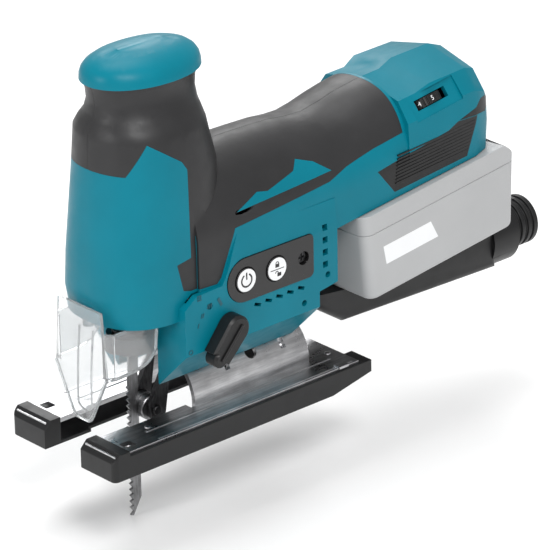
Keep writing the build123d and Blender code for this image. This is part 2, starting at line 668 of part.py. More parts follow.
# ---------------------------------------------------------------- base
def base_plate():
    """Stamped steel base: two long flats, a raised arch, turned-down sides and tabs."""
    z0 = SHEET_TOP - SHEET
    inner = SHOE_HALF - SHOE_WALL
    sheet = block(BUMPER_REAR - 8, PLATE_REAR, -inner, inner, z0, SHEET_TOP)
    sheet -= block(-60, BAY_FRONT, -SLOT_HALF - 1.6, SLOT_HALF + 1.6, 0, 20)
    sheet -= block(-60, BAY_REAR + 2, -BAY_HALF, BAY_HALF, 0, 20) & block(BAY_FRONT - 0.1, 60, -60, 60, 0, 20)
    sheet -= block(BAY_REAR, ARCH_REAR, -ARCH_R + 1, ARCH_R - 1, 0, 20)
    sides = both(block(BUMPER_REAR - 8, PLATE_REAR, -inner, SHEET - inner, 2.2, SHEET_TOP))
    arch = disc_x(ARCH_R, ARCH_FRONT, ARCH_REAR, 0, BEVEL_Z) - disc_x(ARCH_R - SHEET, 0, 130, 0, BEVEL_Z)
    arch &= block(0, 130, -30, 30, z0, 60)
    plate = sheet + sides + arch
    slot = [Pos(BOLT_X, 0, BEVEL_Z) * Rot(turn, 0, 0) * Pos(0, 0, ARCH_R) * Cylinder(BOLT_R + 0.5, 12)
            for turn in range(-50, 51, 5)]
    for cut in slot:
        plate -= cut
    for x in (44.0, 80.0):
        plate -= both(block(x, x + 3, -ARCH_R - 1, -ARCH_R + 6, 24, 30))
    window = both(block(BUMPER_REAR + 2.5, BUMPER_REAR + 8.5, -33, -27, 0, 30))
    tab = both(block(PLATE_REAR - 14, PLATE_REAR - 8, -SHOE_HALF + 0.2, -inner + 3, SHEET_TOP, SHEET_TOP + 1.2))
    return plate - window + tab


def base_shoe():
    """Plastic shoe: sole strips, side walls and two front bumpers."""
    side = block(SHOE_FRONT, SHOE_REAR, -SHOE_HALF, SHOE_WALL - SHOE_HALF, 0, 11.6)
    sole = block(SHOE_FRONT, SHOE_REAR, -SHOE_HALF, -ARCH_R + 1, 0, SHOE_WALL)
    sole += block(SHOE_FRONT, BAY_REAR, -ARCH_R, -SLOT_HALF, 0, SHOE_WALL)
    sole -= block(BAY_FRONT, BAY_REAR + 1, -BAY_HALF, 0, -1, 5)
    bumper = block(SHOE_FRONT, BUMPER_REAR - 8, -SHOE_HALF, -SLOT_HALF, 0, SHEET_TOP)
    lid = block(SHOE_FRONT, BUMPER_REAR, -SHOE_HALF, -SLOT_HALF, SHEET_TOP, SHEET_TOP + 1.2)
    cheek = block(SHOE_FRONT, BUMPER_REAR, -SHOE_HALF, SHOE_WALL - SHOE_HALF, 0, SHEET_TOP + 1.2)
    lip = block(SHOE_FRONT, BUMPER_REAR, -SLOT_HALF - 1.6, -SLOT_HALF, 0, SHEET_TOP + 1.2)
    rear = block(PLATE_REAR, SHOE_REAR, -SHOE_HALF, -24, 0, 11.6)
    one = side + sole + bumper + lid + cheek + lip + rear
    one -= side_prism([(96.0, -1.0), (130.0, -1.0), (130.0, 6.4), (121.0, 5.0), (96.0, 0.0)], -60, 1)
    one -= side_prism([(SHOE_FRONT - 1, 9.0), (SHOE_FRONT - 1, 20), (SHOE_FRONT + 4, 20), (SHOE_FRONT + 4, 14.2)], -60, 1)
    corner = [edge for edge in one.edges().filter_by(Axis.Z) if abs(edge.center().X - SHOE_FRONT) < 0.1
              and abs(edge.center().Y + SHOE_HALF) < 0.1]
    one = fillet(corner, 3.0)
    return one, far(one)


def base_clamp():
    """Saddle under the arch that the bolt pulls against it."""
    saddle = disc_x(ARCH_R - SHEET - GAP, BOLT_X - 12, BOLT_X + 12, 0, BEVEL_Z)
    saddle -= disc_x(ARCH_R - SHEET - 3.6, 0, 130, 0, BEVEL_Z)
    saddle &= block(0, 130, -9, 9, BEVEL_Z, 60)
    return saddle - disc_z(BOLT_R, 0, 60, BOLT_X, 0)


def base_bolt():
    """Socket head bolt of the base, from under the saddle up into the housing."""
    under = BEVEL_Z + sqrt((ARCH_R - SHEET - 3.6) ** 2 - 25)
    head = disc_z(5.0, under - 6, under, BOLT_X, 0) - hexagon_z(4.0, under - 7, under - 3, BOLT_X, 0)
    return head + disc_z(BOLT_R, under, 58.0, BOLT_X, 0)


# ---------------------------------------------------------------- battery and duct
def pack_outline(z_drop, top):
    """Side outline of the battery between two depths under the rail plane."""
    front = [(117.6 - 0.105 * dz, dz) for dz in (z_drop, top)]
    rear = [(214.3, top), (222.6, top - 7.4), (222.6, z_drop)] if top > -PACK_SPLIT else [(222.6, top), (222.0, z_drop)]
    return [(x, rail_z(x) + dz) for x, dz in front + rear]


def battery_upper():
    """Upper case with the rail block and its two lips."""
    body = side_prism(pack_outline(-PACK_SPLIT, -0.6), -PACK_HALF, PACK_HALF)
    corners = [edge for edge in body.edges() if edge.length < 12 and abs(edge.center().Y) > PACK_HALF - 1
               and (edge.center().X < 125 or edge.center().X > 221)]
    body = fillet(corners, 6.0)
    x0, x1 = BODY_REAR + 8, 206.0
    neck = [(x0, rail_z(x0) - 0.6), (x1, rail_z(x1) - 0.6), (x1, rail_z(x1) + RAIL_HEIGHT - LIP), (x0, rail_z(x0) + RAIL_HEIGHT - LIP)]
    head = [(x0, rail_z(x0) + RAIL_HEIGHT - LIP), (x1, rail_z(x1) + RAIL_HEIGHT - LIP),
            (x1, rail_z(x1) + RAIL_HEIGHT), (x0, rail_z(x0) + RAIL_HEIGHT)]
    block_form = side_prism(neck, -RAIL_HALF + 5, RAIL_HALF - 5) + side_prism(head, -RAIL_HALF, RAIL_HALF)
    pocket = Pos(208, 0, rail_z(208) - 3) * Rot(0, -PACK_TILT, 0) * Box(13, 30, 9)
    return body + block_form - pocket


def battery_lower():
    """Lower case, hollow for the cells."""
    shape = side_prism(pack_outline(-46.6, -PACK_SPLIT), -PACK_HALF, PACK_HALF)
    corners = [edge for edge in shape.edges() if edge.length < 40 and abs(edge.center().Y) > PACK_HALF - 1]
    shape = fillet(corners, 6.0)
    shape = fillet(shape.faces().sort_by(Axis.Z)[0].edges(), 3.0)
    room = side_prism([(x, rail_z(x) + dz) for x, dz in ((122, -PACK_SPLIT), (218, -PACK_SPLIT), (218, -45), (126, -45))],
                      3 - PACK_HALF, PACK_HALF - 3)
    return shape - room


def battery_cells():
    """Ten round cells across the pack."""
    cells = []
    for row in range(2):
        for k in range(4):
            x = 140.0 + 21.0 * k
            z = rail_z(x) - 20.2 - 16.6 * row
            cells.append(disc_y(8.1, -33.0, 33.0, x, z))
    return Compound(children=cells)


def battery_button():
    """Release button in the pack's rear end."""
    return Pos(208, 0, rail_z(208) - 2.6) * Rot(0, -PACK_TILT, 0) * Box(12.4, 29.4, 6.0)


def battery_rails():
    """Two fixed rails of the tail that hold the pack's lips."""
    x0, x1 = BODY_REAR + 8, 214.0
    z_low, z_high = 0.2, RAIL_HEIGHT - LIP - GAP
    strip = [(x0, rail_z(x0) + z_low), (x1, rail_z(x1) + z_low), (x1, rail_z(x1) + z_high), (x0, rail_z(x0) + z_high)]
    return Compound(children=[side_prism(strip, -RAIL_HALF - GAP, -RAIL_HALF + 5 - GAP),
                              side_prism(strip, RAIL_HALF - 5 + GAP, RAIL_HALF + GAP)])


def terminal_block():
    """Contact block in front of the pack's rail head."""
    x = BODY_REAR + 0.5
    body = block(x, x + 6.5, -20, 20, rail_z(x) + 1.0, rail_z(x) + RAIL_HEIGHT)
    return body


def circuit_board():
    """Motor controller board in the tail."""
    plane = Pos(160, 0, 112) * Rot(0, -PACK_TILT, 0)
    board = plane * Box(62, 44, 1.6)
    for x, y in ((-20, -10), (-20, 6), (-6, -10), (-6, 6)):
        board += plane * Pos(x, y, 2.6) * Box(9, 10, 3.6)
    board += plane * Pos(18, 4, 5.8) * Cylinder(5, 10)
    return board


def dust_duct():
    """Flat suction duct under the battery with a round collar at its rear."""
    shape = side_prism([(86.0, 37.0), (104.6, 37.0), (126.0, 22.5), (232.0, 19.5), (232.0, 48.0), (128.0, 40.0), (86.0, 45.0)],
                       -DUCT_HALF, DUCT_HALF)
    edges = [edge for edge in shape.edges() if edge.center().Z < 37 and abs(abs(edge.center().Y) - DUCT_HALF) < 0.01
             and edge.length > 20]
    shape = fillet(edges, 4.0)
    collar = disc_x(COLLAR_R, 228, 246, 0, NOZZLE_Z)
    hole = disc_x(NOZZLE_R - 2.4, 222, 260, 0, NOZZLE_Z)
    room = side_prism([(84.0, 39.0), (105.0, 39.0), (127.0, 25.0), (226.0, 22.0), (226.0, 45.0), (128.0, 37.8), (84.0, 43.0)],
                      2 - DUCT_HALF, DUCT_HALF - 2)
    return shape + collar - hole - room


def dust_nozzle():
    """Ribbed round spigot for a suction hose."""
    tube = disc_x(NOZZLE_R - 1.2, 246, NOZZLE_END, 0, NOZZLE_Z)
    for x in (247.5, 252.0, 256.5):
        tube += disc_x(NOZZLE_R, x, x + 2.4, 0, NOZZLE_Z)
    tube += disc_x(NOZZLE_R, NOZZLE_END - 3.0, NOZZLE_END, 0, NOZZLE_Z)
    return tube - disc_x(NOZZLE_R - 2.8, 240, 270, 0, NOZZLE_Z)


# ---------------------------------------------------------------- chip guard and lamp
def chip_guard():
    """Clear cover in front of the blade: wide top band and a narrow tongue."""
    front = [(-GUARD_HALF + 4, 76.0), (GUARD_HALF - 4, 76.0), (GUARD_HALF - 1, 42.5), (7.6, 21.0), (5.0, 16.6), (-5.0, 16.6),
             (-7.6, 21.0), (1 - GUARD_HALF, 42.5)]
    face = end_prism(front, GUARD_X, GUARD_X + GUARD_T)
    wing = side_prism([(GUARD_X, 76.0), (GUARD_X + 3, 76.0), (-26.0, 65.4), (-1.0, 64.6), (0.0, 63.0), (-1.2, 50.0),
                       (-6.0, 45.0), (-14.0, 43.0), (GUARD_X, 42.5)], -GUARD_HALF - GUARD_T, -GUARD_HALF)
    bend = plan_prism([(GUARD_X, 4 - GUARD_HALF), (GUARD_X + GUARD_T, 4 - GUARD_HALF), (GUARD_X + 4.6, -GUARD_HALF),
                       (GUARD_X + 4.6, -GUARD_HALF - GUARD_T), (GUARD_X + 3.6, -GUARD_HALF - GUARD_T)], 42.5, 65.4)
    wing &= block(GUARD_X + 4.6, 5, -60, 0, 0, 100)
    wing -= block(-60, 60, -60, 60, 65.4, 100)
    return face + both(wing + bend)


def guard_wires():
    """Two thin stiffening wires behind the guard's tongue with their foot clip."""
    wires = [disc_z(0.7, 24.0, 62.0, GUARD_X + GUARD_T + 0.7, y) for y in (-5.0, 5.0)]
    clip = block(GUARD_X + GUARD_T, GUARD_X + GUARD_T + 2.4, -5.7, 5.7, 22.4, 24.4)
    return wires[0] + wires[1] + clip


def lamp_lens():
    """Lens of the work lamp in the chamber's roof."""
    return disc_z(3.0, 59.4, 63.0, -17.5, 8.0)


# ---------------------------------------------------------------- write every piece
def pieces():
    """All sub-parts by name."""
    near, rear, grip_near, grip_far = housing()
    shoe_near, shoe_far = base_shoe()
    inset, band = side_plate(INSET_OUTLINE, 1.5), side_plate(BAND_OUTLINE, 1.5)
    return {
        "housing_near": near, "housing_far": rear, "grip_near": grip_near, "grip_far": grip_far,
        "tail_inset_near": inset, "tail_inset_far": far(inset), "tail_band_near": band, "tail_band_far": far(band),
        "housing_screws": housing_screws(), "control_panel": control_panel(),
        "power_button": button(POWER_X), "lock_button": button(LOCK_X),
        "power_switch": switch_dome(POWER_X), "lock_switch": switch_dome(LOCK_X),
        "panel_screw": panel_screw(), "control_board": control_board(),
        "speed_dial": speed_dial(), "dial_axle": dial_pin(), "orbital_lever": orbital_lever(),
        "motor_stator": stator(), "motor_windings": windings(), "motor_rotor": rotor(), "rotor_shaft": rotor_shaft(),
        "cooling_fan": fan(), "front_bearing": bearing(28.0, MOTOR_Z), "rear_bearing": bearing(94.0, MOTOR_Z),
        "gear_case": gear_case(), "drive_gear": drive_gear(), "balance_plate": balance_plate(), "gear_axle": gear_axle(),
        "slider_rod": slider_rod(), "rod_bushes": rod_bushes(), "felt_seal": felt_seal(), "seal_holder": seal_holder(),
        "blade_clamp": blade_clamp(), "clamp_collar": clamp_collar(), "blade": blade(),
        "orbital_arm": orbital_arm(), "arm_pin": arm_pin(), "guide_roller": guide_roller(), "roller_pin": roller_pin(),
        "base_plate": base_plate(), "shoe_near": shoe_near, "shoe_far": shoe_far,
        "base_clamp": base_clamp(), "base_bolt": base_bolt(),
        "battery_upper": battery_upper(), "battery_lower": battery_lower(), "battery_cells": battery_cells(),
        "battery_button": battery_button(), "battery_rails": battery_rails(), "terminal_block": terminal_block(),
        "circuit_board": circuit_board(), "dust_duct": dust_duct(), "dust_nozzle": dust_nozzle(),
        "chip_guard": chip_guard(), "guard_wires": guard_wires(), "lamp_lens": lamp_lens(),
    }


os.makedirs("parts", exist_ok=True)
for name, shape in pieces().items():
    export_step(shape, f"parts/{name}.step")
print(len(os.listdir("parts")), "parts")
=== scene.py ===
import bmesh
import bpy
import json
import math
import numpy as np
from mathutils import Matrix


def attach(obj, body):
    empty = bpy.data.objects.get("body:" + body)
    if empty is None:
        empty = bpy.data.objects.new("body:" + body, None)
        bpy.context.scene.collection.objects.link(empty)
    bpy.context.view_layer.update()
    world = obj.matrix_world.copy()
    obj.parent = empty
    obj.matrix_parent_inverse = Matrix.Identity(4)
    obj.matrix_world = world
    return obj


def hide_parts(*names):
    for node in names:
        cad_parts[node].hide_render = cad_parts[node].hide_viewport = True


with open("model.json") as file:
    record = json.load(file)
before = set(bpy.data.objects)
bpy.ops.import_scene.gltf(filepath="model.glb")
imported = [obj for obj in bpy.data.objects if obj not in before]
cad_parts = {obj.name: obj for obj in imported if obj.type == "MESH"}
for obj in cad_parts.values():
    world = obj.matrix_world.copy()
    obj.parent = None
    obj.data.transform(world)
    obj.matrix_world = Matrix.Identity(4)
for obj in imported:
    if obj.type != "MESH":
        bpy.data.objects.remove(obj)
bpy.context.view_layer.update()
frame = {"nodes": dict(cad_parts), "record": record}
MM = 0.001
BODY_OF = {
    node: body for body, nodes in frame["record"]["behaviour"]["bodies"].items() for node in nodes
}
SLOT_OF = {row["node"]: row["material_slot"] for row in frame["record"]["subparts"]}


# ---------------------------------------------------------------- materials
class Finish:
    """A Principled material whose patterns all read Object coordinates."""

    def __init__(self, name, **sockets):
        self.material = bpy.data.materials.new(name)
        self.material.use_nodes = True
        self.nodes = self.material.node_tree.nodes
        self.links = self.material.node_tree.links
        self.shader = self.nodes["Principled BSDF"]
        self.place = self.nodes.new("ShaderNodeTexCoord").outputs["Object"]
        for socket, value in sockets.items():
            self.shader.inputs[socket.replace("_", " ")].default_value = value

    def mapped(self, scale, turn=(0, 0, 0)):
        """Object coordinates turned and stretched."""
        node = self.nodes.new("ShaderNodeMapping")
        node.inputs["Scale"].default_value = scale
        node.inputs["Rotation"].default_value = turn
        self.links.new(self.place, node.inputs["Vector"])
        return node.outputs["Vector"]

    def noise(self, scale, detail=3.0, rough=0.55, where=None):
        """Cloudy noise from 0 to 1, in Object coordinates unless a mapping is given."""
        node = self.nodes.new("ShaderNodeTexNoise")
        node.inputs["Scale"].default_value = scale
        node.inputs["Detail"].default_value = detail
        node.inputs["Roughness"].default_value = rough
        self.links.new(where or self.place, node.inputs["Vector"])
        return node.outputs["Fac"]

    def cells(self, scale):
        """Distance to the nearest point of a scattered set, for flakes."""
        node = self.nodes.new("ShaderNodeTexVoronoi")
        node.inputs["Scale"].default_value = scale
        self.links.new(self.place, node.inputs["Vector"])
        return node.outputs["Distance"]

    def ramp(self, fac, *stops):
        """Colour picked from (place, colour) stops."""
        node = self.nodes.new("ShaderNodeValToRGB")
        ramp = node.color_ramp
        while len(ramp.elements) < len(stops):
            ramp.elements.new(0.5)
        for element, (at, colour) in zip(ramp.elements, stops):
            element.position = at
            element.color = (*colour, 1.0)
        self.links.new(fac, node.inputs["Fac"])
        return node.outputs["Color"]

    def span(self, fac, low, high):
        """The middle of a noise stretched to run from low to high."""
        node = self.nodes.new("ShaderNodeMapRange")
        node.inputs["From Min"].default_value = 0.3
        node.inputs["From Max"].default_value = 0.7
        node.inputs["To Min"].default_value = low
        node.inputs["To Max"].default_value = high
        self.links.new(fac, node.inputs["Value"])
        return node.outputs["Result"]

    def both(self, a, b, kind):
        """Two values joined by one arithmetic step."""
        node = self.nodes.new("ShaderNodeMath")
        node.operation = kind
        self.links.new(a, node.inputs[0])
        self.links.new(b, node.inputs[1])
        return node.outputs["Value"]

    def colour(self, output):
        self.links.new(output, self.shader.inputs["Base Color"])

    def roughness(self, output):
        self.links.new(output, self.shader.inputs["Roughness"])

    def bump(self, height, depth_mm, strength):
        """Fine relief, depth in millimetres."""
        node = self.nodes.new("ShaderNodeBump")
        node.inputs["Strength"].default_value = strength
        node.inputs["Distance"].default_value = depth_mm * MM
        self.links.new(height, node.inputs["Height"])
        self.links.new(node.outputs["Normal"], self.shader.inputs["Normal"])


def moulded(name, colour, rough, grain, depth, spread, **sockets):
    """Moulded plastic or rubber: pebbled grain, faint flow marks and uneven gloss."""
    finish = Finish(name, **sockets)
    flow = finish.noise(28.0, 4.0)
    grain_height = finish.noise(grain, 2.0, 0.6)
    dark = tuple(c * (1 - spread) for c in colour)
    light = tuple(min(1.0, c * (1 + spread)) for c in colour)
    finish.colour(finish.ramp(flow, (0.32, dark), (0.68, light)))
    finish.roughness(finish.span(finish.noise(160.0, 4.0), rough - 0.05, rough + 0.06))
    finish.bump(grain_height, depth, 0.55)
    return finish.material


def drawn_steel(name, dark, light, rough, along, grain, depth, spangle=0.0):
    """Plated or ground metal: long fine lines, smoky patches and optional zinc flakes."""
    finish = Finish(name, Metallic=1.0)
    lines = finish.noise(grain, 5.0, 0.7, finish.mapped(along))
    smoke = finish.noise(38.0, 5.0, 0.6)
    tone = finish.both(lines, smoke, "MULTIPLY")
    finish.colour(finish.ramp(tone, (0.12, dark), (0.40, light)))
    finish.roughness(finish.span(smoke, rough - 0.08, rough + 0.10))
    if spangle:
        finish.bump(finish.both(lines, finish.cells(spangle), "ADD"), depth, 0.5)
    else:
        finish.bump(lines, depth, 0.6)
    return finish.material


def clear_cover():
    """Clear tough plastic with faint scuffs."""
    finish = Finish("clear_cover", Transmission_Weight=0.86, IOR=1.45)
    scuffs = finish.noise(60.0, 6.0, 0.7, finish.mapped((1.0, 1.0, 9.0), (0.3, 0.0, 0.0)))
    finish.colour(finish.ramp(scuffs, (0.3, (0.86, 0.88, 0.89)), (0.7, (0.93, 0.945, 0.95))))
    finish.roughness(finish.span(scuffs, 0.02, 0.10))
    finish.bump(scuffs, 0.02, 0.3)
    return finish.material


# each plastic: name, colour, roughness, grain scale, grain depth in mm, share of colour spread
TEAL = moulded("teal_shell", (0.0, 0.160, 0.220), 0.36, 1500.0, 0.018, 0.06,
               Specular_IOR_Level=0.16)
GRIP = moulded("black_grip", (0.0200, 0.0198, 0.0208), 0.44, 1150.0, 0.05, 0.18,
               Specular_IOR_Level=0.35)
BLACK = moulded("black_plastic", (0.0075, 0.0075, 0.008), 0.40, 1300.0, 0.04, 0.14,
                Specular_IOR_Level=0.35)
PANEL = moulded("panel_plastic", (0.008, 0.0075, 0.008), 0.30, 1700.0, 0.02, 0.10)
GREY = moulded("grey_case", (0.40, 0.405, 0.41), 0.46, 1500.0, 0.02, 0.03)
WHITE = moulded("white_print", (0.80, 0.81, 0.82), 0.42, 1500.0, 0.01, 0.03)
INK = moulded("dark_print", (0.012, 0.012, 0.013), 0.45, 1500.0, 0.01, 0.12)
RELIEF = moulded("teal_relief", (0.0, 0.075, 0.105), 0.42, 1500.0, 0.012, 0.06)
BOARD = moulded("board", (0.010, 0.09, 0.035), 0.35, 500.0, 0.03, 0.2)
WRAP = moulded("cell_wrap", (0.03, 0.10, 0.2), 0.3, 700.0, 0.02, 0.1)
FELT = moulded("felt", (0.33, 0.31, 0.28), 0.9, 2500.0, 0.25, 0.3)
# each metal: name, dark and light colour, roughness, stretch of the lines, their scale, depth in mm
ZINC = drawn_steel("zinc_steel", (0.30, 0.30, 0.31), (0.72, 0.72, 0.73), 0.30,
                   (2.0, 30.0, 30.0), 16.0, 0.03, spangle=500.0)
HARD = drawn_steel("dark_steel", (0.02, 0.02, 0.021), (0.10, 0.10, 0.104), 0.36,
                   (60.0, 60.0, 8.0), 20.0, 0.02)
SAW = drawn_steel("blade_steel", (0.10, 0.10, 0.102), (0.42, 0.42, 0.43), 0.33,
                  (120.0, 20.0, 6.0), 22.0, 0.02)
ALLOY = drawn_steel("cast_alloy", (0.26, 0.26, 0.265), (0.60, 0.60, 0.61), 0.45,
                    (30.0, 30.0, 30.0), 30.0, 0.08, spangle=900.0)
BRONZE = drawn_steel("bronze", (0.25, 0.15, 0.06), (0.62, 0.42, 0.20), 0.35,
                     (60.0, 60.0, 20.0), 20.0, 0.03)
COPPER = drawn_steel("copper", (0.35, 0.13, 0.06), (0.78, 0.38, 0.22), 0.3,
                     (20.0, 200.0, 200.0), 20.0, 0.08)
CLEAR = clear_cover()
FINISH_OF = {
    "teal_shell": TEAL, "black_grip": GRIP, "black_plastic": BLACK, "panel_plastic": PANEL,
    "grey_case": GREY, "zinc_steel": ZINC, "dark_steel": HARD, "blade_steel": SAW,
    "cast_alloy": ALLOY, "bronze": BRONZE, "copper": COPPER, "clear_cover": CLEAR,
    "board": BOARD, "cell_wrap": WRAP, "felt": FELT,
}


# ---------------------------------------------------------------- meshes
SHARP = 30.0  # degrees between faces from which an edge of a finished copy counts as sharp
FLAT = 0.6  # degrees up to which neighbouring faces are made one
CURVED = 35.0  # degrees between faces from which a smooth new piece keeps an edge


def piece(name, points, faces, material, body, smooth=False):
    """Mesh object at the origin from an array of points in millimetres."""
    mesh = bpy.data.meshes.new(name)
    mesh.from_pydata((np.asarray(points, float).reshape(-1, 3) * MM).tolist(), [], faces)
    work = bmesh.new()
    work.from_mesh(mesh)
    bmesh.ops.remove_doubles(work, verts=work.verts, dist=1e-7)
    bmesh.ops.recalc_face_normals(work, faces=work.faces)
    work.to_mesh(mesh)
    work.free()
    mesh.materials.append(material)
    if smooth:
        mesh.shade_smooth()
        mesh.set_sharp_from_angle(angle=math.radians(CURVED))
    obj = bpy.data.objects.new(name, mesh)
    bpy.context.scene.collection.objects.link(obj)
    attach(obj, body)
    return obj


def soften(obj, width, segments=2):
    """Bevel modifier that rounds the sharp edges to a width in millimetres."""
    edge = obj.modifiers.new("edge", "BEVEL")
    edge.width = width * MM
    edge.segments = segments
    edge.limit_method = "ANGLE"
    edge.angle_limit = math.radians(SHARP)
    edge.use_clamp_overlap = True
    edge.harden_normals = True
    return obj


def dress(node, width, segments, material=None):
    """Finished copy of a CAD node: merged, flat faces made whole, edges rounded to width."""
    source = frame["nodes"][node]
    mesh = source.data.copy()
    work = bmesh.new()
    work.from_mesh(mesh)
    bmesh.ops.remove_doubles(work, verts=work.verts, dist=2e-6)
    bmesh.ops.dissolve_limit(
        work, angle_limit=math.radians(FLAT), verts=work.verts, edges=work.edges)
    work.to_mesh(mesh)
    work.free()
    mesh.materials.clear()
    mesh.materials.append(material or FINISH_OF[SLOT_OF[node]])
    for name in [layer.name for layer in mesh.attributes if layer.name == "custom_normal"]:
        mesh.attributes.remove(mesh.attributes[name])
    mesh.shade_smooth()
    mesh.set_sharp_from_angle(angle=math.radians(SHARP))
    obj = bpy.data.objects.new(node + "_look", mesh)
    bpy.context.scene.collection.objects.link(obj)
    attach(obj, BODY_OF[node])
    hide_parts(node)
    return soften(obj, width, segments)


def prism_y(outline, y0, y1):
    """Closed outline (x, z) carried straight from y0 to y1, with both ends capped."""
    flat = np.asarray(outline, float)
    count = len(flat)
    near = np.column_stack([flat[:, 0], np.full(count, y0), flat[:, 1]])
    points = np.vstack([near, near + [0, y1 - y0, 0]])
    ring = np.arange(count)
    after = (ring + 1) % count
    faces = np.column_stack([ring, after, after + count, ring + count]).tolist()
    return points, faces + [ring.tolist(), (ring + count)[::-1].tolist()]


def joined(*parts):
    """Several point and face lists as one."""
    points, faces, base = [], [], 0
    for some, rows in parts:
        points.append(some)
        faces += [[base + k for k in row] for row in rows]
        base += len(some)
    return np.vstack(points), faces


def disc(x, z, r, y0, y1):
    """Circle of radius r carried along Y."""
    turn = np.linspace(0, 2 * math.pi, 48, endpoint=False)
    return prism_y(np.column_stack([x + r * np.cos(turn), z + r * np.sin(turn)]), y0, y1)


def arc_band(x, z, r, width, start, end, y0, y1, count=28):
    """Part of a ring: outer arc forwards and inner arc back, carried along Y."""
    turn = np.radians(np.linspace(start, end, count))
    far, close = r + width / 2, r - width / 2
    outer = np.column_stack([x + far * np.cos(turn), z + far * np.sin(turn)])
    inner = np.column_stack([x + close * np.cos(turn), z + close * np.sin(turn)])
    strip = np.vstack([outer, inner[::-1]])
    near = np.column_stack([strip[:, 0], np.full(len(strip), y0), strip[:, 1]])
    points = np.vstack([near, near + [0, y1 - y0, 0]])
    total, k = len(strip), np.arange(count - 1)
    faces = np.column_stack([k, k + 1, total - 2 - k, total - 1 - k]).tolist()
    faces += (np.column_stack([k, total - 1 - k, total - 2 - k, k + 1]) + total).tolist()
    ring = np.arange(total)
    after = (ring + 1) % total
    faces += np.column_stack([ring, ring + total, after + total, after]).tolist()
    return points, faces


def bar(x0, z0, x1, z1, width, y0, y1):
    """Straight bar between two points, carried along Y."""
    along = np.array([x1 - x0, z1 - z0], float)
    across = np.array([-along[1], along[0]]) / np.hypot(*along) * width / 2
    a, b = np.array([x0, z0]), np.array([x1, z1])
    return prism_y([a + across, b + across, b - across, a - across], y0, y1)


def tube(path, r, around=12):
    """Circle of radius r carried along a path, kept square to it, with capped ends."""
    path = np.asarray(path, float)
    ahead = np.gradient(path, axis=0)
    ahead /= np.linalg.norm(ahead, axis=1)[:, None]
    side = np.cross(ahead, [0.03, 1.0, 0.02])
    side /= np.linalg.norm(side, axis=1)[:, None]
    up = np.cross(side, ahead)
    turn = np.linspace(0, 2 * math.pi, around, endpoint=False)
    across, upward = np.cos(turn)[None, :, None], np.sin(turn)[None, :, None]
    rings = path[:, None] + r * (across * side[:, None] + upward * up[:, None])
    rows = len(path)
    index = np.arange(rows * around).reshape(rows, around)
    a, b = index[:-1], index[1:]
    faces = np.stack([a, np.roll(a, -1, 1), np.roll(b, -1, 1), b], -1).reshape(-1, 4).tolist()
    return rings.reshape(-1, 3), faces + [index[0][::-1].tolist(), index[-1].tolist()]


# ---------------------------------------------------------------- finished copies of the CAD pieces
# width in millimetres of the rounding on each finished copy
ROUNDING = {
    "housing_near": 0.7, "housing_far": 0.7, "grip_near": 0.5, "grip_far": 0.5,
    "tail_inset_near": 0.3, "tail_inset_far": 0.3, "tail_band_near": 0.3, "tail_band_far": 0.3,
    "control_panel": 0.6, "power_button": 0.5, "lock_button": 0.5, "panel_screw": 0.25,
    "housing_screws": 0.25, "speed_dial": 0.2, "orbital_lever": 0.9, "base_plate": 0.6,
    "shoe_near": 1.2, "shoe_far": 1.2, "battery_upper": 0.6, "battery_lower": 0.6,
    "battery_button": 0.8, "dust_duct": 1.2, "dust_nozzle": 0.5, "chip_guard": 0.5,
    "blade_clamp": 0.4, "clamp_collar": 0.5, "guide_roller": 0.15, "roller_pin": 0.4,
    "battery_rails": 0.3, "orbital_arm": 0.5, "base_bolt": 0.4, "base_clamp": 0.5,
    "blade": 0.08, "lamp_lens": 0.3, "seal_holder": 0.3,
}
for node, width in ROUNDING.items():
    dress(node, width, 3 if width > 1 else 2, HARD if node == "panel_screw" else None)
for node, source in frame["nodes"].items():
    if node not in ROUNDING:
        source.data.materials.clear()
        source.data.materials.append(FINISH_OF[SLOT_OF[node]])


# ---------------------------------------------------------------- marks on the controls
def button_marks():
    """White discs carried along Y as button faces, with signs of bars and part rings on them.

    The signs are a broken ring with a stroke, and a shut and an open padlock with a line between.
    """
    front = -37.2  # the buttons' outer faces
    radius = 5.75
    x, z = 42.2, 78.0
    y0, y1 = front - 0.2, front - 0.1
    piece("power_face", *disc(x, z, radius, front - 0.12, front + 0.05), WHITE, "power")
    ring = arc_band(x, z, 3.2, 0.85, 118, 422, y0, y1)
    stroke = bar(x, z + 0.4, x, z + 4.0, 0.8, y0, y1)
    piece("power_sign", *joined(ring, stroke), INK, "power")
    x = 61.7
    piece("lock_face", *disc(x, z, radius, front - 0.12, front + 0.05), WHITE, "lock")
    case = [(x - 1.2, z + 0.9), (x + 1.2, z + 0.9), (x + 1.2, z + 2.7), (x - 1.2, z + 2.7)]
    shut = [prism_y(case, y0, y1), arc_band(x, z + 2.9, 0.85, 0.42, -8, 188, y0, y1, 14)]
    case = [(x, z - 3.9), (x + 2.4, z - 3.9), (x + 2.4, z - 2.1), (x, z - 2.1)]
    opened = [prism_y(case, y0, y1), arc_band(x - 0.3, z - 2.0, 0.85, 0.42, -8, 188, y0, y1, 14)]
    line = bar(x - 4.3, z - 0.2, x + 4.3, z - 0.2, 0.35, y0, y1)
    piece("lock_sign", *joined(*shut, *opened, line), INK, "lock")


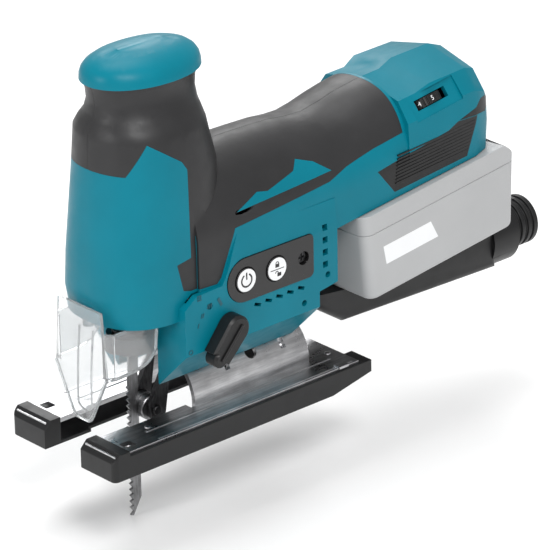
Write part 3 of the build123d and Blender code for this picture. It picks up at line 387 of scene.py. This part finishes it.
def lever_marks():
    """Raised setting marks beside the orbital lever: a ring, counted bars and a small ladder."""
    y0, y1 = -36.25, -35.9
    marks = [arc_band(7.4, 51.0, 1.1, 0.45, 0, 350, y0, y1, 20)]
    for (x, z), count in (((12.5, 63.2), 1), ((15.2, 67.6), 2), ((19.6, 71.4), 3)):
        for k in range(count):
            shift = 1.1 * (k - (count - 1) / 2)
            marks.append(bar(x + shift - 0.3, z - 1.1, x + shift + 0.3, z + 1.1, 0.5, y0, y1))
    marks.append(bar(25.0, 73.6, 27.2, 69.6, 1.5, y0, y1))
    marks.append(bar(12.2, 76.0, 14.6, 76.0, 0.4, y0, y1))
    marks.append(bar(12.2, 78.4, 14.6, 78.4, 0.4, y0, y1))
    marks += [bar(x, 76.4, x, 78.0, 0.4, y0, y1) for x in (12.4, 13.4, 14.4)]
    piece("lever_marks", *joined(*marks), RELIEF, "housing")


def lever_ridge():
    """Raised spine along the orbital lever: one bar from behind its hub to near its tip."""
    heading = math.radians(228)  # the way the lever points at rest
    ux, uz = math.cos(heading), math.sin(heading)
    x, z = 31.0, 57.5
    spine = bar(x - 3.5 * ux, z - 3.5 * uz, x + 17.0 * ux, z + 17.0 * uz, 1.6, -45.2, -43.6)
    soften(piece("lever_ridge", *spine, BLACK, "lever"), 0.7, 3)


def dial_numbers():
    """Raised numbers 1 to 5 bent round the dial: distance along a number becomes an angle."""
    axis = np.array([-0.117007, 0.541454, 0.832548])  # the dial's own
    centre = np.array([171.923, -22.029, 128.353])
    rim, spacing = 10.0, 0.75  # radius in millimetres, radians between numbers
    along = np.array([math.cos(math.radians(8)), 0, math.sin(math.radians(8))])
    outward = np.cross(axis, along)
    outward *= np.sign(-outward[1])
    for k in range(1, 6):
        curve = bpy.data.curves.new(f"number_{k}", "FONT")
        curve.body = str(k)
        curve.size = 3.4
        curve.align_x, curve.align_y = "CENTER", "CENTER"
        curve.extrude = 0.06
        holder = bpy.data.objects.new(f"number_{k}", curve)
        bpy.context.scene.collection.objects.link(holder)
        graph = bpy.context.evaluated_depsgraph_get()
        mesh = bpy.data.meshes.new_from_object(holder.evaluated_get(graph))
        flat = np.zeros(len(mesh.vertices) * 3)
        mesh.vertices.foreach_get("co", flat)
        flat = flat.reshape(-1, 3)
        faces = [list(face.vertices) for face in mesh.polygons]
        bpy.data.objects.remove(holder)
        turn = (k - 5) * spacing + flat[:, 0] / rim
        radius = rim + flat[:, 2]
        spoke = np.sin(turn)[:, None] * along + np.cos(turn)[:, None] * outward
        points = centre + radius[:, None] * spoke
        points += flat[:, 1][:, None] * axis
        piece(f"dial_number_{k}", points, faces, WHITE, "dial")


def tail_ribs():
    """Slanted moulded ribs on the tail's side insets: short bars laid on the surface."""
    for side, label in ((-1, "near"), (1, "far")):
        ribs = []
        for k in range(9):
            z = 98.6 + 1.75 * k
            start = 142.6 + 0.2 * k
            end = min(192.0 + 0.55 * k, 196.5)
            ribs.append(bar(start, z - 0.8, end, z + 3.4, 0.65, side * 33.5, side * 34.5))
        piece(f"tail_ribs_{label}", *joined(*ribs), BLACK, "housing")


def pack_label():
    """Plain light stripe on each side of the battery: a slanted four-cornered outline along Y."""
    slope = math.tan(math.radians(7))  # the pack's own slope

    def level(x, drop):
        """Height at x of a line that runs with the pack, moved up by drop."""
        return 85.5 + slope * (x - 105) + drop

    for side, label in ((-1, "near"), (1, "far")):
        y0, y1 = side * 37.35, side * 37.62
        outline = ((133, -30), (168, -30), (163, -20), (131, -20))
        corners = [(x, level(x, drop)) for x, drop in outline]
        piece(f"pack_stripe_{label}", *prism_y(corners, y0, y1), WHITE, "battery")


def guard_springs():
    """Bright wire loops behind the guard: straight legs joined by a half turn at the foot."""
    wire, apart = 0.55, 5.0  # radius of the wire, distance of each leg from the middle
    x, z = -27.9, 24.5  # where the legs meet the foot
    height = np.linspace(0, 1, 30)
    legs = []
    for y in (-apart, apart):
        path = np.column_stack([x + 2.4 * height ** 2, np.full(30, y), z + 38.5 * height])
        legs.append(tube(path, wire))
    turn = np.linspace(0, math.pi, 20)
    foot = np.column_stack([np.full(20, x), apart * np.cos(turn), z - 3.4 * np.sin(turn)])
    look = piece("guard_wires_look", *joined(*legs, tube(foot, wire)), ZINC, "guard", True)
    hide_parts("guard_wires")


def guard_rim():
    """Rounded bead along the guard's free edges: a circle carried round them at even steps."""
    corners = np.array([
        [-30.2, 18.7, 43.0], [-30.2, 7.8, 21.2], [-30.2, 5.2, 16.9], [-30.2, -5.2, 16.9],
        [-30.2, -7.8, 21.2], [-30.2, -18.7, 43.0], [-29.4, -19.3, 42.9], [-26.2, -20.6, 42.9],
        [-14.0, -20.6, 43.4], [-6.3, -20.6, 45.4], [-1.6, -20.6, 50.3], [-0.5, -20.6, 62.8],
        [-1.4, -20.6, 64.3], [-25.8, -20.6, 65.2]])
    steps = np.linalg.norm(np.diff(corners, axis=0), axis=1)
    length = np.concatenate([[0.0], np.cumsum(steps)])
    at = np.linspace(0, length[-1], 220)
    path = np.column_stack([np.interp(at, length, corners[:, k]) for k in range(3)])
    kernel = np.ones(7) / 7
    padded = np.vstack([np.repeat(path[:1], 3, 0), path, np.repeat(path[-1:], 3, 0)])
    path = np.column_stack([np.convolve(padded[:, k], kernel, "valid") for k in range(3)])
    piece("guard_rim", *tube(path, 0.95, 10), CLEAR, "guard", True)


def base_ridges():
    """Pressed ridges and round dimples on the steel base: low bars and discs on the plate."""
    top = 12.7  # the plate's upper face
    for side, label in ((-1, "near"), (1, "far")):
        outline = [(-14.0, top), (106.0, top), (104.6, 13.25), (-12.6, 13.25)]
        ridge = prism_y(outline, side * 25.0, side * 26.3)
        outline = [(-14.0, top), (112.0, top), (111.0, 13.1), (-13.0, 13.1)]
        edge = prism_y(outline, side * 34.6, side * 35.6)
        soften(piece(f"base_ridges_{label}", *joined(ridge, edge), ZINC, "base"), 0.25)
    around = 24
    turn = np.linspace(0, 2 * math.pi, around, endpoint=False)
    ring = np.arange(around)
    after = (ring + 1) % around
    band = np.column_stack([ring, after, after + around, ring + around])
    for number, (x, y) in enumerate(((-9.0, -22.0), (-9.0, 22.0), (109.0, -20.0), (109.0, 20.0))):
        rims = [np.column_stack([x + r * np.cos(turn), y + r * np.sin(turn), np.full(around, z)])
                for r, z in ((1.7, top), (1.5, 13.2), (0.9, 13.45))]
        faces = np.vstack([band, band + around]).tolist()
        faces += [ring[::-1].tolist(), (ring + 2 * around).tolist()]
        piece(f"base_dimple_{number}", np.vstack(rims), faces, ZINC, "base", True)


button_marks()
guard_rim()
base_ridges()
lever_marks()
lever_ridge()
dial_numbers()
tail_ribs()
pack_label()
guard_springs()


# ---------------------------------------------------------------- floor, light and camera
def floor():
    """Pale floor just under the blade's tip."""
    mesh = bpy.data.meshes.new("floor")
    half, z = 4.0, -0.0452
    corners = [(-half, -half, z), (half, -half, z), (half, half, z), (-half, half, z)]
    mesh.from_pydata(corners, [], [(0, 1, 2, 3)])
    mesh.materials.append(moulded("floor_paper", (0.90, 0.90, 0.90), 0.75, 60.0, 0.01, 0.005))
    obj = bpy.data.objects.new("floor", mesh)
    bpy.context.scene.collection.objects.link(obj)


def stance(right, up, back, place):
    """Matrix of something that looks against back, from its axes and its place in metres."""
    rows = [[right[k], up[k], back[k], place[k]] for k in range(3)]
    return Matrix(rows + [[0, 0, 0, 1]])


def area_light(name, place, target, size, watts):
    """Square soft light aimed at a point."""
    lamp = bpy.data.lights.new(name, "AREA")
    lamp.size = size
    lamp.energy = watts
    obj = bpy.data.objects.new(name, lamp)
    bpy.context.scene.collection.objects.link(obj)
    away = np.array(place, float) - np.array(target, float)
    away /= np.linalg.norm(away)
    right = np.cross([0, 0, 1.0], away)
    right /= np.linalg.norm(right)
    up = np.cross(away, right)
    obj.matrix_world = stance(right, up, away, place)


def camera():
    """Long lens above the tool's front left, with a small roll."""
    azimuth, height, roll = (math.radians(angle) for angle in (-41.5495, 23.7293, -1.0683))
    level = math.cos(height)
    back = np.array([math.sin(azimuth) * level, -math.cos(azimuth) * level, math.sin(height)])
    right = np.cross(-back, [0, 0, 1.0])
    right /= np.linalg.norm(right)
    up = np.cross(right, -back)
    side = math.cos(roll) * right + math.sin(roll) * up
    top = -math.sin(roll) * right + math.cos(roll) * up
    lens = bpy.data.cameras.new("camera")
    lens.lens, lens.sensor_width, lens.sensor_height = 274.909, 36.0, 36.0
    lens.sensor_fit = "HORIZONTAL"
    lens.clip_end = 50.0
    obj = bpy.data.objects.new("camera", lens)
    bpy.context.scene.collection.objects.link(obj)
    place = np.array([-1155.985, -1409.505, 881.310]) * MM
    obj.matrix_world = stance(side, top, back, place)
    bpy.context.scene.camera = obj


floor()
area_light("key", (-0.5, -1.1, 1.3), (0.08, 0, 0.08), 0.5, 17.0)
area_light("left", (-1.5, 0.1, 0.6), (0.0, 0, 0.08), 0.5, 7.0)
area_light("top", (0.2, 0.3, 1.5), (0.08, 0, 0.1), 0.9, 11.0)
area_light("rim", (0.9, 1.1, 0.9), (0.1, 0, 0.12), 0.6, 6.0)
world = bpy.data.worlds.new("studio")
world.use_nodes = True
sky = world.node_tree.nodes["Background"].inputs
sky["Color"].default_value = (1.0, 1.0, 1.0, 1.0)
sky["Strength"].default_value = 0.55
bpy.context.scene.world = world
bpy.context.scene.view_settings.view_transform = "Standard"
camera()
